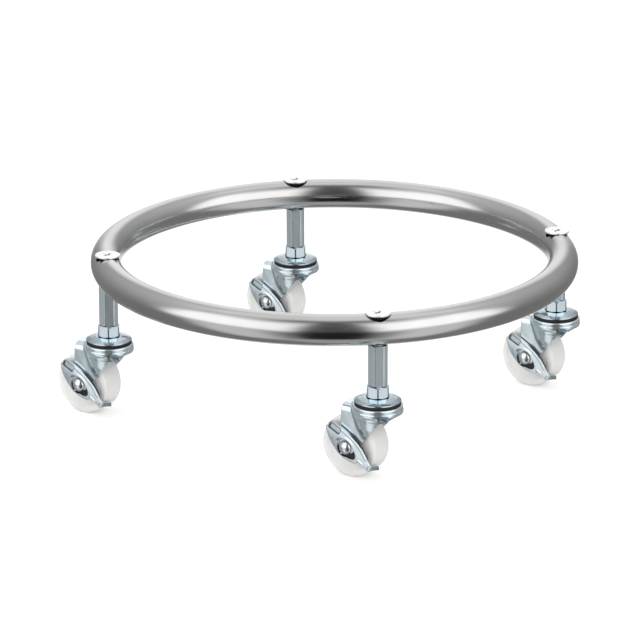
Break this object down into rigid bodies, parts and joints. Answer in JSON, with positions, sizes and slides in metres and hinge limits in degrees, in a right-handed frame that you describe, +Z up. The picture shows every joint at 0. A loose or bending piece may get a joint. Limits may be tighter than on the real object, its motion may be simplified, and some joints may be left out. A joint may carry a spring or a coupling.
{
  "type": "drum dolly",
  "caption": "Round tubular ring dolly on small braked swivel casters, for rolling a drum or gas bottle about.",
  "frame": {"origin": "on the floor under the centre of the ring", "axes": "+Z up, +X the way the dolly rolls (the wheels trail towards -X), +Y to the left; the brakes are on the -Y sides"},
  "size_m": [0.3, 0.3, 0.1028],
  "materials": {
    "stainless_tube": "satin stainless, fine brushing along the tube",
    "screw_steel": "bright nickel plate",
    "zinc_steel": "bright blue-white zinc plate",
    "fork_steel": "bright blue-white zinc plate on pressed sheet",
    "lever_steel": "bright blue-white zinc plate on pressed sheet",
    "rivet_steel": "bright zinc plate, domed",
    "bearing_steel": "polished bearing steel",
    "black_seal": "matte black",
    "wheel_nylon": "natural translucent white plastic, semi-gloss"
  },
  "bodies": {
    "root": {"ring_tube": "stainless_tube", "top_screws": "screw_steel", "spacer_front_left": "zinc_steel", "lock_nut_front_left": "zinc_steel", "stem_front_left": "zinc_steel", "bearing_cap_front_left": "zinc_steel", "dust_ring_front_left": "black_seal", "kingpin_washer_front_left": "zinc_steel", "spacer_front_right": "zinc_steel", "lock_nut_front_right": "zinc_steel", "stem_front_right": "zinc_steel", "bearing_cap_front_right": "zinc_steel", "dust_ring_front_right": "black_seal", "kingpin_washer_front_right": "zinc_steel", "spacer_rear_left": "zinc_steel", "lock_nut_rear_left": "zinc_steel", "stem_rear_left": "zinc_steel", "bearing_cap_rear_left": "zinc_steel", "dust_ring_rear_left": "black_seal", "kingpin_washer_rear_left": "zinc_steel", "spacer_rear_right": "zinc_steel", "lock_nut_rear_right": "zinc_steel", "stem_rear_right": "zinc_steel", "bearing_cap_rear_right": "zinc_steel", "dust_ring_rear_right": "black_seal", "kingpin_washer_rear_right": "zinc_steel"},
    "swivel_front_left": {"fork_front_left": "fork_steel", "upper_balls_front_left": "bearing_steel", "lower_balls_front_left": "bearing_steel", "axle_rivet_front_left": "rivet_steel", "axle_sleeve_front_left": "bearing_steel", "brake_boss_front_left": "zinc_steel"},
    "rolling_front_left": {"wheel_front_left": "wheel_nylon"},
    "brake_front_left": {"brake_lever_front_left": "lever_steel"},
    "swivel_front_right": {"fork_front_right": "fork_steel", "upper_balls_front_right": "bearing_steel", "lower_balls_front_right": "bearing_steel", "axle_rivet_front_right": "rivet_steel", "axle_sleeve_front_right": "bearing_steel", "brake_boss_front_right": "zinc_steel"},
    "rolling_front_right": {"wheel_front_right": "wheel_nylon"},
    "brake_front_right": {"brake_lever_front_right": "lever_steel"},
    "swivel_rear_left": {"fork_rear_left": "fork_steel", "upper_balls_rear_left": "bearing_steel", "lower_balls_rear_left": "bearing_steel", "axle_rivet_rear_left": "rivet_steel", "axle_sleeve_rear_left": "bearing_steel", "brake_boss_rear_left": "zinc_steel"},
    "rolling_rear_left": {"wheel_rear_left": "wheel_nylon"},
    "brake_rear_left": {"brake_lever_rear_left": "lever_steel"},
    "swivel_rear_right": {"fork_rear_right": "fork_steel", "upper_balls_rear_right": "bearing_steel", "lower_balls_rear_right": "bearing_steel", "axle_rivet_rear_right": "rivet_steel", "axle_sleeve_rear_right": "bearing_steel", "brake_boss_rear_right": "zinc_steel"},
    "rolling_rear_right": {"wheel_rear_right": "wheel_nylon"},
    "brake_rear_right": {"brake_lever_rear_right": "lever_steel"}
  },
  "joints": [
    {"name": "swivel_front_left_turn", "type": "hinge", "parent": "root", "child": "swivel_front_left", "pos_m": [0.09935, 0.09935, 0.0465], "axis": [0, 0, 1], "continuous": true},
    {"name": "wheel_front_left_roll", "type": "hinge", "parent": "swivel_front_left", "child": "rolling_front_left", "pos_m": [0.08385, 0.09935, 0.019], "axis": [0, 1, 0], "continuous": true},
    {"name": "brake_front_left_press", "type": "hinge", "parent": "swivel_front_left", "child": "brake_front_left", "pos_m": [0.08533, 0.08885, 0.02089], "axis": [0, 1, 0], "range_deg": [0, 13]},
    {"name": "swivel_front_right_turn", "type": "hinge", "parent": "root", "child": "swivel_front_right", "pos_m": [0.09935, -0.09935, 0.0465], "axis": [0, 0, 1], "continuous": true},
    {"name": "wheel_front_right_roll", "type": "hinge", "parent": "swivel_front_right", "child": "rolling_front_right", "pos_m": [0.08385, -0.09935, 0.019], "axis": [0, 1, 0], "continuous": true},
    {"name": "brake_front_right_press", "type": "hinge", "parent": "swivel_front_right", "child": "brake_front_right", "pos_m": [0.08533, -0.10985, 0.02089], "axis": [0, 1, 0], "range_deg": [0, 13]},
    {"name": "swivel_rear_left_turn", "type": "hinge", "parent": "root", "child": "swivel_rear_left", "pos_m": [-0.09935, 0.09935, 0.0465], "axis": [0, 0, 1], "continuous": true},
    {"name": "wheel_rear_left_roll", "type": "hinge", "parent": "swivel_rear_left", "child": "rolling_rear_left", "pos_m": [-0.11485, 0.09935, 0.019], "axis": [0, 1, 0], "continuous": true},
    {"name": "brake_rear_left_press", "type": "hinge", "parent": "swivel_rear_left", "child": "brake_rear_left", "pos_m": [-0.11337, 0.08885, 0.02089], "axis": [0, 1, 0], "range_deg": [0, 13]},
    {"name": "swivel_rear_right_turn", "type": "hinge", "parent": "root", "child": "swivel_rear_right", "pos_m": [-0.09935, -0.09935, 0.0465], "axis": [0, 0, 1], "continuous": true},
    {"name": "wheel_rear_right_roll", "type": "hinge", "parent": "swivel_rear_right", "child": "rolling_rear_right", "pos_m": [-0.11485, -0.09935, 0.019], "axis": [0, 1, 0], "continuous": true},
    {"name": "brake_rear_right_press", "type": "hinge", "parent": "swivel_rear_right", "child": "brake_rear_right", "pos_m": [-0.11337, -0.10985, 0.02089], "axis": [0, 1, 0], "range_deg": [0, 13]}
  ]
}
